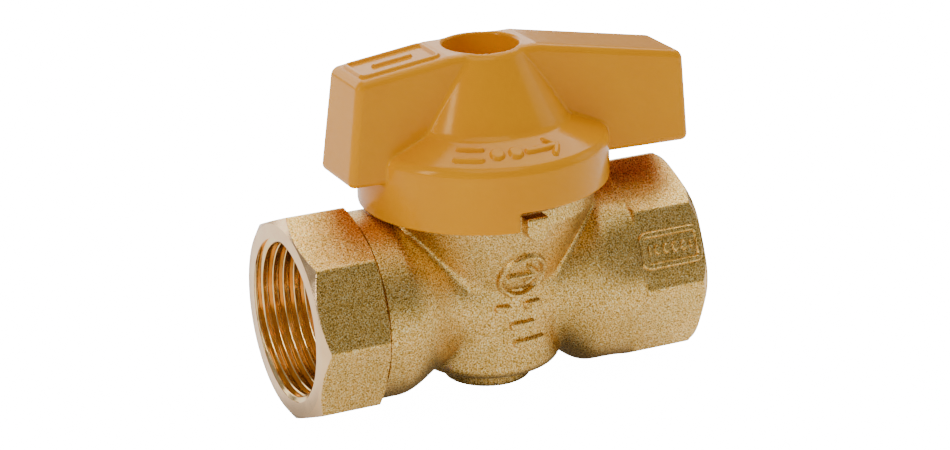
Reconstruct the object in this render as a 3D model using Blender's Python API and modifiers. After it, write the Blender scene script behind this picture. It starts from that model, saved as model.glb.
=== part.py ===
"""Two-piece forged brass ball valve, 3/4 inch female pipe threads, with a wedge handle.

The flow axis is X, from the inlet at -X to the outlet at +X, and the stem axis is +Z. The origin is
where the two cross, at the ball's centre. The valve stands open, with the handle's wings along X.
"""

import math

import bmesh
import bpy
from mathutils import Matrix, Vector

MM = 0.001
GAP = 0.3 * MM  # left between pieces that touch

# Wrench ends and pipe threads
ACROSS_FLATS = 32.2 * MM
INLET_X = -35.9 * MM
SEAM_X = -24.4 * MM
OUTLET_X = 32.9 * MM
OUTLET_LENGTH = 11.6 * MM
END_CHAMFER = 0.9 * MM
THREAD_R = 12.6 * MM
COUNTERSINK_R = 13.6 * MM
COUNTERSINK_LENGTH = 1.2 * MM
THREAD_DEPTH = 13.3 * MM
THREAD_TAPER = 1 / 32
WATERWAY_R = 6.1 * MM
THREAD_END_CONE = 3.0 * MM

# Body round the ball
NECK_R = 15.5 * MM
OUTLET_NECK_R = 16.0 * MM
WAIST_R = 11.2 * MM
WAIST_X = 7.5 * MM
SHOULDER_X = 17.5 * MM
BARREL_R = 12.3 * MM
BARREL_BOTTOM_Z = -11.5 * MM
BOSS_R = 7.3 * MM
BOSS_BOTTOM_Z = -15.9 * MM
BOSS_HEIGHT = 1.9 * MM
CHAMBER_R = 9.6 * MM
SPIGOT_R = 13.7 * MM
SPIGOT_END_X = -20.0 * MM
SPIGOT_BORE_END_X = -18.6 * MM
NOSE_R = 9.3 * MM
SEAT_BACK_X = 9.0 * MM

# Bonnet and the turning stop
FLANGE_R = 18.2 * MM
FLANGE_BOTTOM_Z = 14.9 * MM
FLARE_Z = 3.0 * MM
FLANGE_TOP_Z = 18.1 * MM
BONNET_R = 8.8 * MM
BONNET_TOP_Z = 20.4 * MM
LUG_WIDTH = 3.8 * MM
LUG_OUT = 20.3 * MM
LUG_IN = 16.5 * MM
LUG_BOTTOM_Z = 14.7 * MM
RELIEF_IN_R = 18.5 * MM  # lets the handle's skirt pass over the outlet neck
RELIEF_OUT_R = 21.1 * MM
RELIEF_Z = 15.4 * MM
RELIEF_DEGREES = (68.0, 112.0)  # from -Y towards +X

# Ball and seats
BALL_R = 9.2 * MM
PORT_R = 5.9 * MM
SLOT_WIDTH = 3.6 * MM
SLOT_FLOOR_Z = 6.8 * MM
SEAT_R = 9.3 * MM
SEAT_LIP_R = 8.0 * MM

# Stem and its seals
STEM_R = 4.0 * MM
STEM_BORE_R = 4.3 * MM
TANG_WIDTH = 3.0 * MM
TANG_LENGTH = 9.6 * MM
TANG_BOTTOM_Z = 7.1 * MM
COLLAR_R = 5.3 * MM
COLLAR_BOTTOM_Z = 9.9 * MM
COLLAR_TOP_Z = 11.7 * MM
COLLAR_BORE_R = 5.7 * MM
COLLAR_BORE_TOP_Z = 12.9 * MM
ORING_GROOVE_R = 3.0 * MM
ORING_GROOVE_Z = (13.1 * MM, 14.7 * MM)
PACKING_BORE_R = 6.2 * MM
PACKING_BORE_Z = 15.2 * MM
PACKING_TOP_Z = 18.1 * MM
FLAT_HALF = 2.9 * MM
STEM_FLATS_Z = 23.0 * MM
STEM_TOP_Z = 28.2 * MM
SCREW_BORE_R = 2.3 * MM
SCREW_BORE_Z = 21.0 * MM
GLAND_THREAD_R = 5.9 * MM
GLAND_FLATS = 13.0 * MM
GLAND_TOP_Z = 22.8 * MM

# Handle
CAP_R = 20.7 * MM
SKIRT_BOTTOM_Z = 15.7 * MM
SKIRT_CUT_Z = 18.9 * MM
SKIRT_CUT_DEGREES = (-9.0, 99.0)  # from -Y towards +X
SKIRT_IN_R = 18.8 * MM
CEILING_Z = 23.4 * MM
RIM_Z = 25.6 * MM
RIM_ROUND = 1.0 * MM
HUB_BASE_R = 14.1 * MM
HUB_BASE_Z = 29.3 * MM
HUB_TOP_R = 7.9 * MM
HUB_TOP_Z = 40.4 * MM
RECESS_LIP_Z = 41.5 * MM
RECESS_MOUTH_R = 6.2 * MM
RECESS_R = 5.6 * MM
RECESS_FLOOR_Z = 31.0 * MM
SOCKET_TOP_Z = 28.5 * MM
SCREW_HOLE_R = 2.7 * MM
WING_HALF_TOP = 5.9 * MM
WING_HALF_BOTTOM = 6.4 * MM
WING_EDGE = 1.1 * MM
WING_WALL = 2.0 * MM
POCKET_TOP_Z = (35.1 * MM, 33.2 * MM)  # next to the cap and at the wing's end
POCKET_END_X = 32.3 * MM

# Handle fastening
WASHER_R = 4.3 * MM
WASHER_THICKNESS = 0.8 * MM
SCREW_R = 2.0 * MM
SCREW_HEAD_R = 4.0 * MM
SCREW_HEAD_HEIGHT = 2.6 * MM
SCREW_TIP_Z = 22.0 * MM

ALONG_X = Matrix.Rotation(math.radians(90), 4, "Y")
ROUND_STEPS = 40
SMALL_STEPS = 24


def clear_scene():
    for old in list(bpy.data.objects):
        bpy.data.objects.remove(old, do_unlink=True)


def new_collection(name):
    made = bpy.data.collections.new(name)
    bpy.context.scene.collection.children.link(made)
    return made


def new_material(name, colour, metallic, roughness):
    made = bpy.data.materials.new(name)
    made.use_nodes = True
    shader = made.node_tree.nodes["Principled BSDF"]
    shader.inputs["Base Color"].default_value = (*colour, 1.0)
    shader.inputs["Metallic"].default_value = metallic
    shader.inputs["Roughness"].default_value = roughness
    return made


clear_scene()
PARTS = new_collection("ball_valve")
HELPERS = new_collection("cutters")


def place(name, mesh, helper):
    """Puts a mesh in the scene, as a part or as a hidden helper of a Boolean."""
    made = bpy.data.objects.new(name, mesh)
    (HELPERS if helper else PARTS).objects.link(made)
    if helper:
        made.hide_render = True
        made.display_type = "WIRE"
    return made


def turned(name, outline, turn=None, steps=ROUND_STEPS, ring=False, helper=True):
    """A lathe shape about Z, or about another axis once turned.

    outline holds (radius, height) points that run down the outer side; a ring's outline closes on itself.
    """
    mesh = bpy.data.meshes.new(name)
    points = [(radius, 0.0, height) for radius, height in outline]
    edges = [(i, i + 1) for i in range(len(points) - 1)]
    if ring:
        edges.append((len(points) - 1, 0))
    mesh.from_pydata(points, edges, [])
    made = place(name, mesh, helper)
    screw = made.modifiers.new("Turn", "SCREW")
    screw.steps = screw.render_steps = steps
    screw.use_merge_vertices = True
    screw.merge_threshold = 0.01 * MM
    screw.use_smooth_shade = True
    if turn is not None:
        made.matrix_world = turn
    return made


def turned_x(name, outline, helper=True):
    """A lathe shape about X, from (x, radius) points that run from the inlet to the outlet."""
    return turned(name, [(radius, x) for x, radius in reversed(outline)], ALONG_X, helper=helper)


def solid_from(name, build, helper=True):
    """An object whose mesh is made by build(bm)."""
    mesh = bpy.data.meshes.new(name)
    bm = bmesh.new()
    build(bm)
    bmesh.ops.recalc_face_normals(bm, faces=bm.faces)
    bm.to_mesh(mesh)
    bm.free()
    return place(name, mesh, helper)


def block(name, low, high, helper=True):
    """A box between two corners."""
    size = Vector(high) - Vector(low)
    centre = (Vector(high) + Vector(low)) / 2
    shape = Matrix.Translation(centre) @ Matrix.Diagonal((*size, 1.0))
    return solid_from(name, lambda bm: bmesh.ops.create_cube(bm, size=1.0, matrix=shape), helper)


def prism(name, sides, radius, low, high, turn=None, helper=True):
    """A regular prism about Z between two heights, or about X with ALONG_X."""
    frame = Matrix.Translation((0, 0, (low + high) / 2))

    def build(bm):
        bmesh.ops.create_cone(
            bm, cap_ends=True, segments=sides, radius1=radius, radius2=radius, depth=high - low, matrix=frame
        )

    made = solid_from(name, build, helper)
    if turn is not None:
        made.matrix_world = turn
    return made


def extruded(name, outline, low, high, helper=True):
    """A flat (x, y) outline raised from one height to another."""

    def build(bm):
        face = bm.faces.new([bm.verts.new((x, y, low)) for x, y in outline])
        raised = bmesh.ops.extrude_face_region(bm, geom=[face])["geom"]
        rim = [item for item in raised if isinstance(item, bmesh.types.BMVert)]
        bmesh.ops.translate(bm, verts=rim, vec=(0, 0, high - low))

    return solid_from(name, build, helper)


def lofted(name, sections, helper=True):
    """A solid skin over closed sections that hold the same number of points, capped at both ends."""

    def build(bm):
        rings = [[bm.verts.new(point) for point in section] for section in sections]
        for near, far in zip(rings, rings[1:]):
            for i in range(len(near)):
                j = (i + 1) % len(near)
                bm.faces.new((near[i], near[j], far[j], far[i]))
        bm.faces.new(rings[0])
        bm.faces.new(rings[-1])

    return solid_from(name, build, helper)


def combine(target, other, operation):
    """Adds a Boolean of the other object to the target."""
    step = target.modifiers.new(other.name, "BOOLEAN")
    step.operation = operation
    step.solver = "EXACT"
    step.object = other


def arc(centre, radius, start, end, count):
    """Points on an arc, from one angle in degrees to another."""
    for i in range(count + 1):
        angle = math.radians(start + (end - start) * i / count)
        yield (centre[0] + radius * math.cos(angle), centre[1] + radius * math.sin(angle))


def wrench_end(name, face_x, back_x, helper):
    """An octagon with a corner up, its outer edge turned to a cone where the pipe enters."""
    low, high = sorted((face_x, back_x))
    corner_r = ACROSS_FLATS / 2 / math.cos(math.radians(22.5))
    octagon = prism(name, 8, corner_r, low, high, ALONG_X, helper=helper)
    inward = 1 if back_x > face_x else -1
    cone = [
        (face_x - inward * GAP, 0),
        (face_x - inward * GAP, ACROSS_FLATS / 2 - 1.5 * GAP),
        (face_x + inward * 3 * END_CHAMFER, ACROSS_FLATS / 2 + 2 * END_CHAMFER),
        (back_x + inward * GAP, ACROSS_FLATS / 2 + 2 * END_CHAMFER),
        (back_x + inward * GAP, 0),
    ]
    chamfer = turned_x(name + "_chamfer", cone if inward > 0 else cone[::-1])
    combine(octagon, chamfer, "INTERSECT")
    return octagon


def port_outline(face_x, inward):
    """The threaded port's outline as (x, radius), from outside the face to the waterway."""
    end_x = face_x + inward * THREAD_DEPTH
    return [
        (face_x - inward * MM, COUNTERSINK_R),
        (face_x, COUNTERSINK_R),
        (face_x + inward * COUNTERSINK_LENGTH, THREAD_R),
        (end_x, THREAD_R - THREAD_DEPTH * THREAD_TAPER),
        (end_x + inward * THREAD_END_CONE, WATERWAY_R),
    ]


def make_body(brass):
    shoulder = [
        (-SHOULDER_X, NECK_R - 0.4 * MM),
        (-SHOULDER_X + 2.1 * MM, NECK_R - 1.5 * MM),
        (-SHOULDER_X + 3.9 * MM, NECK_R - 2.9 * MM),
        (-SHOULDER_X + 6.0 * MM, NECK_R - 3.9 * MM),
        (-WAIST_X, WAIST_R),
    ]
    outlet = [(-x - 0.9 * MM, radius + 0.5 * MM) for x, radius in shoulder[:-1]]
    outside = [
        (SEAM_X, 0),
        (SEAM_X, NECK_R),
        (-SHOULDER_X - 2.5 * MM, NECK_R),
        *shoulder,
        (WAIST_X, WAIST_R),
        *reversed(outlet),
        (SHOULDER_X + 2 * MM, OUTLET_NECK_R),
        (OUTLET_X - OUTLET_LENGTH + 2 * MM, OUTLET_NECK_R),
        (OUTLET_X - OUTLET_LENGTH + 2 * MM, 0),
    ]
    body = turned_x("body", outside, helper=False)
    combine(body, wrench_end("outlet_octagon", OUTLET_X, OUTLET_X - OUTLET_LENGTH, True), "UNION")
    barrel = [
        (0, BONNET_TOP_Z),
        (BONNET_R, BONNET_TOP_Z),
        (BONNET_R, FLANGE_TOP_Z),
        (FLANGE_R, FLANGE_TOP_Z),
        (FLANGE_R, FLANGE_BOTTOM_Z),
        (BARREL_R, FLARE_Z),
        (BARREL_R, BARREL_BOTTOM_Z),
        (BARREL_R - 2.3 * MM, BARREL_BOTTOM_Z - 1.7 * MM),
        (BOSS_R, BOSS_BOTTOM_Z + BOSS_HEIGHT),
        (BOSS_R, BOSS_BOTTOM_Z),
        (0, BOSS_BOTTOM_Z),
    ]
    combine(body, turned("barrel", barrel), "UNION")
    half = LUG_WIDTH / 2
    lug = [(-half, 0), *arc((0, 0), half, 180, 360, 6), (half, 0)]
    lug_high = FLANGE_TOP_Z - 0.4 * MM
    lug_low = LUG_BOTTOM_Z + half
    sections = [
        [(x, -out, lug_high) for x in (half, -half)] + [(x, -out, lug_low + z) for x, z in lug[1:-1]]
        for out in (LUG_IN, LUG_OUT)
    ]
    combine(body, lofted("stop_lug", sections), "UNION")
    start, end = RELIEF_DEGREES
    relief = annular_sector("skirt_relief", RELIEF_IN_R, RELIEF_OUT_R, RELIEF_Z, RELIEF_Z + 4 * MM, start, end)
    combine(body, relief, "DIFFERENCE")

    inside = [
        (SEAM_X - MM, 0),
        (SEAM_X - MM, SPIGOT_R + GAP),
        (SPIGOT_BORE_END_X, SPIGOT_R + GAP),
        (SPIGOT_BORE_END_X, CHAMBER_R),
        (SEAT_BACK_X + GAP, CHAMBER_R),
        (SEAT_BACK_X + GAP, WATERWAY_R),
        *reversed(port_outline(OUTLET_X, -1)),
        (OUTLET_X + MM, 0),
    ]
    combine(body, turned_x("body_bore", inside), "DIFFERENCE")
    stem_bore = [
        (0, BONNET_TOP_Z + MM),
        (PACKING_BORE_R, BONNET_TOP_Z + MM),
        (PACKING_BORE_R, PACKING_BORE_Z),
        (STEM_BORE_R, PACKING_BORE_Z),
        (STEM_BORE_R, COLLAR_BORE_TOP_Z),
        (COLLAR_BORE_R, COLLAR_BORE_TOP_Z),
        (COLLAR_BORE_R, 0),
        (0, 0),
    ]
    combine(body, turned("stem_bore", stem_bore, steps=SMALL_STEPS), "DIFFERENCE")
    body.data.materials.append(brass)


def make_end_connector(brass):
    connector = wrench_end("end_connector", INLET_X, SEAM_X, False)
    nose_x = -(SEAT_BACK_X + GAP)
    spigot = [
        (SEAM_X - 2 * MM, 0),
        (SEAM_X - 2 * MM, SPIGOT_R),
        (SPIGOT_END_X, SPIGOT_R),
        (SPIGOT_END_X, NOSE_R),
        (nose_x, NOSE_R),
        (nose_x, 0),
    ]
    combine(connector, turned_x("spigot", spigot), "UNION")
    inside = [
        (INLET_X - MM, 0),
        *port_outline(INLET_X, 1),
        (nose_x + MM, WATERWAY_R),
        (nose_x + MM, 0),
    ]
    combine(connector, turned_x("connector_bore", inside), "DIFFERENCE")
    connector.data.materials.append(brass)


def make_ring(name, outline, look, turn=None, steps=SMALL_STEPS):
    made = turned(name, outline, turn, steps=steps, ring=True, helper=False)
    made.data.materials.append(look)


def make_body_seal(white):
    low, high = SPIGOT_END_X + GAP, SPIGOT_BORE_END_X - GAP
    outer, inner = SPIGOT_R - 0.3 * MM, NOSE_R + 0.5 * MM
    outline = [(inner, high), (outer, high), (outer, low), (inner, low)]
    make_ring("body_seal", outline, white, ALONG_X, ROUND_STEPS)


def make_seat(name, side, white):
    """A ring whose hollow face stands one gap off the ball, on one side of it."""

    def on_ball(radius):
        return math.sqrt((BALL_R + GAP) ** 2 - radius**2)

    bore_r = PORT_R + 0.2 * MM
    middle_r = (bore_r + SEAT_LIP_R) / 2
    outline = [
        (bore_r, SEAT_BACK_X),
        (SEAT_R, SEAT_BACK_X),
        (SEAT_R, on_ball(SEAT_LIP_R)),
        (SEAT_LIP_R, on_ball(SEAT_LIP_R)),
        (middle_r, on_ball(middle_r)),
        (bore_r, on_ball(bore_r)),
    ]
    make_ring(name, outline, white, ALONG_X @ Matrix.Rotation(0 if side > 0 else math.pi, 4, "X"))


def make_ball(chrome):
    half = 0.5 * math.pi

    def build(bm):
        bmesh.ops.create_uvsphere(
            bm, u_segments=32, v_segments=18, radius=BALL_R, matrix=Matrix.Rotation(half, 4, "Y")
        )

    ball = solid_from("ball", build, helper=False)
    port = prism("ball_port", SMALL_STEPS, PORT_R, -2 * BALL_R, 2 * BALL_R, ALONG_X)
    combine(ball, port, "DIFFERENCE")
    slot = block(
        "ball_slot", (-SLOT_WIDTH / 2, -2 * BALL_R, SLOT_FLOOR_Z), (SLOT_WIDTH / 2, 2 * BALL_R, 2 * BALL_R)
    )
    combine(ball, slot, "DIFFERENCE")
    ball.data.shade_smooth()
    ball.data.materials.append(chrome)


def make_stem(brass):
    groove_low, groove_high = ORING_GROOVE_Z
    outline = [
        (0, STEM_TOP_Z),
        (STEM_R, STEM_TOP_Z),
        (STEM_R, groove_high),
        (ORING_GROOVE_R, groove_high),
        (ORING_GROOVE_R, groove_low),
        (STEM_R, groove_low),
        (STEM_R, COLLAR_TOP_Z),
        (COLLAR_R, COLLAR_TOP_Z),
        (COLLAR_R, COLLAR_BOTTOM_Z),
        (0, COLLAR_BOTTOM_Z),
    ]
    stem = turned("stem", outline, steps=SMALL_STEPS, helper=False)
    half_width, half_length = TANG_WIDTH / 2, TANG_LENGTH / 2
    tang = block(
        "tang", (-half_width, -half_length, TANG_BOTTOM_Z), (half_width, half_length, COLLAR_BOTTOM_Z + GAP)
    )
    combine(stem, tang, "UNION")
    for side in (-1, 1):
        inner, outer = sorted((side * FLAT_HALF, side * 2 * STEM_R))
        name = "stem_flat_right" if side > 0 else "stem_flat_left"
        flat = block(name, (inner, -2 * STEM_R, STEM_FLATS_Z), (outer, 2 * STEM_R, STEM_TOP_Z + MM))
        combine(stem, flat, "DIFFERENCE")
    screw_bore = prism("screw_bore", 16, SCREW_BORE_R, SCREW_BORE_Z, STEM_TOP_Z + MM)
    combine(stem, screw_bore, "DIFFERENCE")
    stem.data.materials.append(brass)


def make_stem_seals(white, rubber):
    washer_low, washer_high = COLLAR_TOP_Z + GAP, COLLAR_BORE_TOP_Z - GAP
    inner = STEM_R + 0.3 * MM
    washer = [(inner, washer_high), (COLLAR_R, washer_high), (COLLAR_R, washer_low), (inner, washer_low)]
    make_ring("thrust_washer", washer, white)

    section_r = (STEM_BORE_R - ORING_GROOVE_R - 0.2 * MM) / 2
    middle = (ORING_GROOVE_R + 0.1 * MM + section_r, sum(ORING_GROOVE_Z) / 2)
    section = list(arc(middle, section_r, 180, -180, 8))[:-1]
    make_ring("stem_o_ring", section, rubber)

    inner, outer = STEM_R + 0.3 * MM, PACKING_BORE_R - 0.3 * MM
    height = (PACKING_TOP_Z - PACKING_BORE_Z - GAP) / 2
    for i, name in enumerate(("packing_lower", "packing_upper")):
        low = PACKING_BORE_Z + GAP + i * height
        high = low + height - GAP
        make_ring(name, [(inner, high), (outer, high), (outer, low), (inner, low)], white)


def make_gland_nut(brass):
    corner_r = GLAND_FLATS / 2 / math.cos(math.radians(30))
    nut = prism("gland_nut", 6, corner_r, BONNET_TOP_Z + GAP, GLAND_TOP_Z, helper=False)
    thread_low = PACKING_TOP_Z
    thread = prism("gland_thread", SMALL_STEPS, GLAND_THREAD_R, thread_low, BONNET_TOP_Z + 2 * GAP)
    combine(nut, thread, "UNION")
    bore = prism("gland_bore", SMALL_STEPS, STEM_BORE_R, thread_low - MM, GLAND_TOP_Z + MM)
    combine(nut, bore, "DIFFERENCE")
    nut.data.materials.append(brass)


def wing_section(x_low, x_high, z_low, z_high):
    """One section of the wings' bar, its edges bevelled and its sides drafted."""
    low, high, edge = WING_HALF_BOTTOM, WING_HALF_TOP, WING_EDGE
    corners = [
        (low, z_low + edge),
        (high, z_high - edge),
        (high - edge, z_high),
        (edge - high, z_high),
        (-high, z_high - edge),
        (-low, z_low + edge),
        (edge - low, z_low),
        (low - edge, z_low),
    ]
    share = [(z - z_low) / (z_high - z_low) for _, z in corners]
    return [(x_low + s * (x_high - x_low), y, z) for s, (y, z) in zip(share, corners)]


def annular_sector(name, inner, outer, low, high, start, end, count=18):
    """A ring sector whose angles run from -Y towards +X."""
    near = list(arc((0, 0), inner, start - 90, end - 90, count))
    far = list(arc((0, 0), outer, start - 90, end - 90, count))
    return extruded(name, near + far[::-1], low, high)


def make_wing_pocket():
    """The hollow that lightens the long wing, open at the bottom."""
    low, high = WING_HALF_BOTTOM - WING_WALL, WING_HALF_TOP - WING_WALL
    bottom = SKIRT_BOTTOM_Z + 2 * MM
    sections = [
        [(x, -low, bottom), (x, low, bottom), (x, high, top), (x, -high, top)]
        for x, top in zip((CAP_R + 1.2 * MM, POCKET_END_X), POCKET_TOP_Z)
    ]
    return lofted("wing_pocket", sections)


def make_handle(yellow):
    rim_centre = (CAP_R - RIM_ROUND, RIM_Z - RIM_ROUND)
    outline = [
        (0, RECESS_LIP_Z),
        (HUB_TOP_R - 1.1 * MM, RECESS_LIP_Z),
        (HUB_TOP_R - 0.3 * MM, RECESS_LIP_Z - 0.35 * MM),
        (HUB_TOP_R, HUB_TOP_Z - 0.4 * MM),
        (HUB_BASE_R, HUB_BASE_Z),
        *arc(rim_centre, RIM_ROUND, 60, 0, 3),
        (CAP_R, SKIRT_BOTTOM_Z),
        (0, SKIRT_BOTTOM_Z),
    ]
    handle = turned("handle", outline, steps=64, helper=False)

    lip_z = RECESS_LIP_Z - 0.1 * MM
    bar = [
        wing_section(-26.2 * MM, -24.0 * MM, 22.3 * MM, 39.4 * MM),
        wing_section(-HUB_TOP_R, -HUB_TOP_R, 21.8 * MM, lip_z),
        wing_section(HUB_TOP_R, HUB_TOP_R, 21.5 * MM, lip_z),
        wing_section(35.2 * MM, 34.3 * MM, 20.9 * MM, 36.4 * MM),
    ]
    combine(handle, lofted("wings", bar), "UNION")
    combine(handle, make_wing_pocket(), "DIFFERENCE")

    hollow = prism("skirt_hollow", 64, SKIRT_IN_R, SKIRT_BOTTOM_Z - 5 * MM, CEILING_Z)
    combine(handle, hollow, "DIFFERENCE")
    start, end = SKIRT_CUT_DEGREES
    skirt_cut = annular_sector(
        "skirt_cut", SKIRT_IN_R - 2 * MM, CAP_R + 2 * MM, SKIRT_BOTTOM_Z - MM, SKIRT_CUT_Z, start, end
    )
    combine(handle, skirt_cut, "DIFFERENCE")
    recess = [
        (0, RECESS_LIP_Z + MM),
        (RECESS_MOUTH_R + 0.5 * MM, RECESS_LIP_Z + MM),
        (RECESS_MOUTH_R + 0.5 * MM, RECESS_LIP_Z),
        (RECESS_MOUTH_R, RECESS_LIP_Z - 0.6 * MM),
        (RECESS_R, RECESS_FLOOR_Z),
        (0, RECESS_FLOOR_Z),
    ]
    combine(handle, turned("recess", recess), "DIFFERENCE")
    width, radius = FLAT_HALF + GAP, STEM_R + GAP
    reach = math.degrees(math.acos(width / radius))
    socket = [
        *arc((0, 0), radius, reach, 180 - reach, 6),
        *arc((0, 0), radius, 180 + reach, 360 - reach, 6),
    ]
    combine(handle, extruded("stem_socket", socket, CEILING_Z - MM, SOCKET_TOP_Z), "DIFFERENCE")
    hole = prism("screw_hole", 16, SCREW_HOLE_R, SOCKET_TOP_Z - MM, RECESS_FLOOR_Z + MM)
    combine(handle, hole, "DIFFERENCE")
    handle.data.materials.append(yellow)


def make_fastening(steel):
    washer_low = RECESS_FLOOR_Z + GAP
    washer_high = washer_low + WASHER_THICKNESS
    inner = SCREW_R + 0.3 * MM
    washer = [(inner, washer_high), (WASHER_R, washer_high), (WASHER_R, washer_low), (inner, washer_low)]
    make_ring("lock_washer", washer, steel)

    head_low = washer_high + GAP
    head_high = head_low + SCREW_HEAD_HEIGHT
    outline = [
        (0, head_high),
        (SCREW_HEAD_R * 0.6, head_high),
        (SCREW_HEAD_R * 0.9, head_high - 0.7 * MM),
        (SCREW_HEAD_R, head_high - 1.6 * MM),
        (SCREW_HEAD_R, head_low),
        (SCREW_R, head_low),
        (SCREW_R, SCREW_TIP_Z + 0.5 * MM),
        (SCREW_R - 0.5 * MM, SCREW_TIP_Z),
        (0, SCREW_TIP_Z),
    ]
    screw = turned("handle_screw", outline, steps=SMALL_STEPS, helper=False)
    half, depth = 0.5 * MM, 1.4 * MM
    for name, reach_x, reach_y in (("drive_x", 2.2 * MM, half), ("drive_y", half, 2.2 * MM)):
        low = (-reach_x, -reach_y, head_high - depth)
        combine(screw, block(name, low, (reach_x, reach_y, head_high + MM)), "DIFFERENCE")
    screw.data.materials.append(steel)


def move_to_joint_axis():
    """Gives each piece that turns with the handle a parent on the stem axis."""
    axis = bpy.data.objects.new("stem_axis", None)
    PARTS.objects.link(axis)
    for name in ("ball", "stem", "handle", "lock_washer", "handle_screw"):
        bpy.data.objects[name].parent = axis


def main():
    brass = new_material("forged_brass", (0.62, 0.42, 0.16), 1.0, 0.42)
    machined = new_material("machined_brass", (0.80, 0.58, 0.26), 1.0, 0.22)
    chrome = new_material("chrome_plate", (0.75, 0.75, 0.76), 1.0, 0.08)
    white = new_material("white_ptfe", (0.85, 0.85, 0.82), 0.0, 0.45)
    rubber = new_material("black_rubber", (0.03, 0.03, 0.03), 0.0, 0.6)
    steel = new_material("zinc_steel", (0.6, 0.6, 0.6), 1.0, 0.3)
    yellow = new_material("yellow_enamel", (1.0, 0.42, 0.01), 0.0, 0.16)

    make_body(brass)
    make_end_connector(brass)
    make_body_seal(white)
    make_seat("inlet_seat", -1, white)
    make_seat("outlet_seat", 1, white)
    make_ball(chrome)
    make_stem(machined)
    make_stem_seals(white, rubber)
    make_gland_nut(machined)
    make_handle(yellow)
    make_fastening(steel)
    move_to_joint_axis()


main()
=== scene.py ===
"""The ball valve's fine surfaces, materials, floor, lights and camera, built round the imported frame.

Shapes are worked out in millimetres and turned into metres when a mesh is made. The flow axis is X, the
stem axis Z, and the origin is where they cross.
"""

import math

import bmesh
import bpy
import numpy as np
from mathutils import Matrix, Vector


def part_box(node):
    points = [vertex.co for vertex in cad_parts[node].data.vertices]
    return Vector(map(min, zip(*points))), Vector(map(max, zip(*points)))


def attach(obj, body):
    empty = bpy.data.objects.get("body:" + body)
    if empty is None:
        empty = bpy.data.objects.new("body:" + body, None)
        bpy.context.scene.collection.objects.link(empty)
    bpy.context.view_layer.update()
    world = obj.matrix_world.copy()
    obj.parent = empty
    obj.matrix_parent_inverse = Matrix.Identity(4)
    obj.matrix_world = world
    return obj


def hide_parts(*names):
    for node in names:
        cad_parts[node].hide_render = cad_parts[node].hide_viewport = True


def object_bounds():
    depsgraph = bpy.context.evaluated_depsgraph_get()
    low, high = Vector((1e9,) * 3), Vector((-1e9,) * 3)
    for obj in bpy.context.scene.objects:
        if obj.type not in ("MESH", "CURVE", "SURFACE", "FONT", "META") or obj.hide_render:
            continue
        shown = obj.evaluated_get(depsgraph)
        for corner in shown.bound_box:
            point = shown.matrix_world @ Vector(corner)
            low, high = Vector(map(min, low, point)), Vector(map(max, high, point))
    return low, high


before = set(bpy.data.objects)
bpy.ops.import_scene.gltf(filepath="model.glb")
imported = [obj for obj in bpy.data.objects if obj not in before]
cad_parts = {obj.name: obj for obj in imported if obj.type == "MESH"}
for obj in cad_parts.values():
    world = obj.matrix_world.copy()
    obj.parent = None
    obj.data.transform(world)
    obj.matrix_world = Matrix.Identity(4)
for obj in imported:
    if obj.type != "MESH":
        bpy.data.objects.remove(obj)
CAD_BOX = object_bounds()
MM = 0.001


def box_mm(node):
    low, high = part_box(node)
    return np.array(low) / MM, np.array(high) / MM


BODY_LOW, BODY_HIGH = box_mm("body")
CONNECTOR_LOW, CONNECTOR_HIGH = box_mm("end_connector")
HANDLE_LOW, HANDLE_HIGH = box_mm("handle")
SCREW_LOW, SCREW_HIGH = box_mm("handle_screw")
WASHER_LOW, WASHER_HIGH = box_mm("lock_washer")
_, SEAT_HIGH = box_mm("outlet_seat")
_, BALL_HIGH = box_mm("ball")

# Wrench ends and ports
INLET_X = CONNECTOR_LOW[0]
SEAM_X = BODY_LOW[0]
OUTLET_X = BODY_HIGH[0]
CORNER_R = CONNECTOR_HIGH[2]
FLAT_R = CORNER_R * math.cos(math.radians(22.5))
OCTAGON_LENGTH = 11.6
OUTLET_STEP_X = OUTLET_X - OCTAGON_LENGTH
CONE_SLOPE = 1.375
CONE_FACE_R = FLAT_R - 0.19
MOUTH_R = 13.6
THREAD_R = 12.6
THREAD_DEPTH = 13.3
THREAD_PITCH = 25.4 / 14
THREAD_HEIGHT = 1.3
THREAD_START = 0.35
THREAD_TAPER = 1 / 32
THREAD_RUN_OUT = 2.0
COUNTERSINK_SLOPE = 1.6
WATERWAY_R = 6.1
PORT_CONE = 3.0
COLUMNS = 360  # points in each ring of the two forgings
RAY_START_R = 26.0

# Body round the ball
NECK_R = 15.5
OUTLET_NECK_R = FLAT_R - 0.02
WAIST_R = 11.2
INLET_NECK_X = (-8.5, -19.5)
OUTLET_NECK_X = (7.5, 16.2)
FACETS_X = (12.5, 21.5)
BARREL_R = 12.3
BARREL_TOP_Z = 15.2
BARREL_FLOOR_Z = -14.2
BARREL_FLOOR_RISE = 1.8
FLARE_Z = 3.0
FLANGE_R = 18.2
FLANGE_Z = (14.9, 18.1)
BONNET_R = 8.8
BONNET_TOP_Z = 20.4
BOSS_R = 7.3
BOSS_Z = -15.9
SEAM_GROOVE = (0.6, 0.65)
RELIEF_R = (19.75, 1.3)
RELIEF_Z = 15.4
RELIEF_X = 16.5
LUG_HALF = 1.9
LUG_Z = (13.7, 17.7)
LUG_REACH = (15.5, 20.4)
CHAMBER_R = 9.6
CHAMBER_X = -18.6
SEAT_X = 9.3
SPIGOT_R = 13.7
SPIGOT_X = -20.0
NOSE_R = 9.3
NOSE_X = -9.3
BORES_R = 14.3  # whatever faces the flow axis within this radius is machined
PACKING_BORE = (6.2, 15.2)  # radius and floor
STEM_BORE_R = 4.3
COLLAR_BORE = (5.7, 12.9)  # radius and ceiling
GAP = 0.3

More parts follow.
